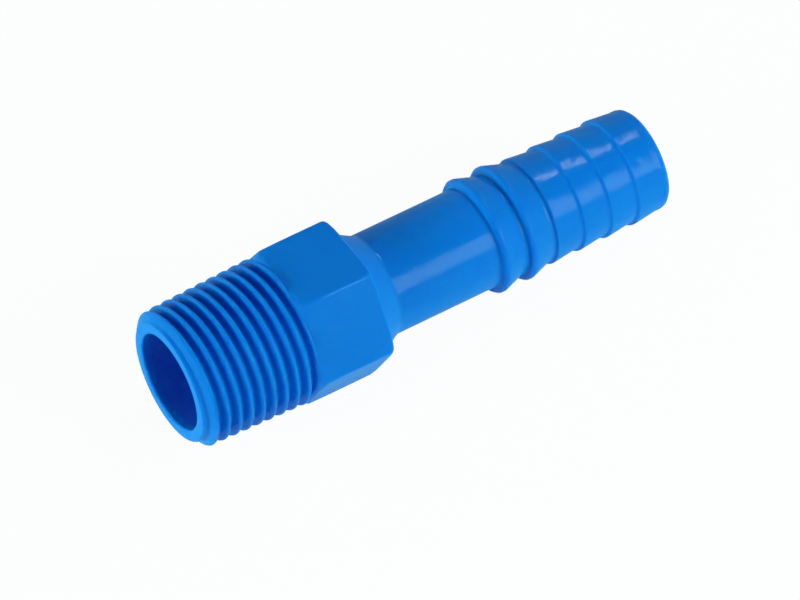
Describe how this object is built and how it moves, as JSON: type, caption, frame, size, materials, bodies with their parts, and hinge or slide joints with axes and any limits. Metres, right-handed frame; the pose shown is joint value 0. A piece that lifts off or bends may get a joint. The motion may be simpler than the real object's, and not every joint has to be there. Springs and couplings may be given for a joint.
{
  "type": "hose barb adapter",
  "caption": "Straight moulded hose barb adapter: male taper pipe thread, hexagon collar, conical boss, plain shank and barbed hose end with a through bore.",
  "frame": {"origin": "centre of the threaded end face, on the flow axis", "axes": "+X along the flow axis towards the hose end, +Z square to a flat of the hexagon"},
  "size_m": [0.0775, 0.0238, 0.0215],
  "materials": {
    "adapter": "semi-gloss moulded polypropylene, plain blue"
  },
  "bodies": {
    "root": {"adapter_body": "adapter"}
  },
  "joints": []
}
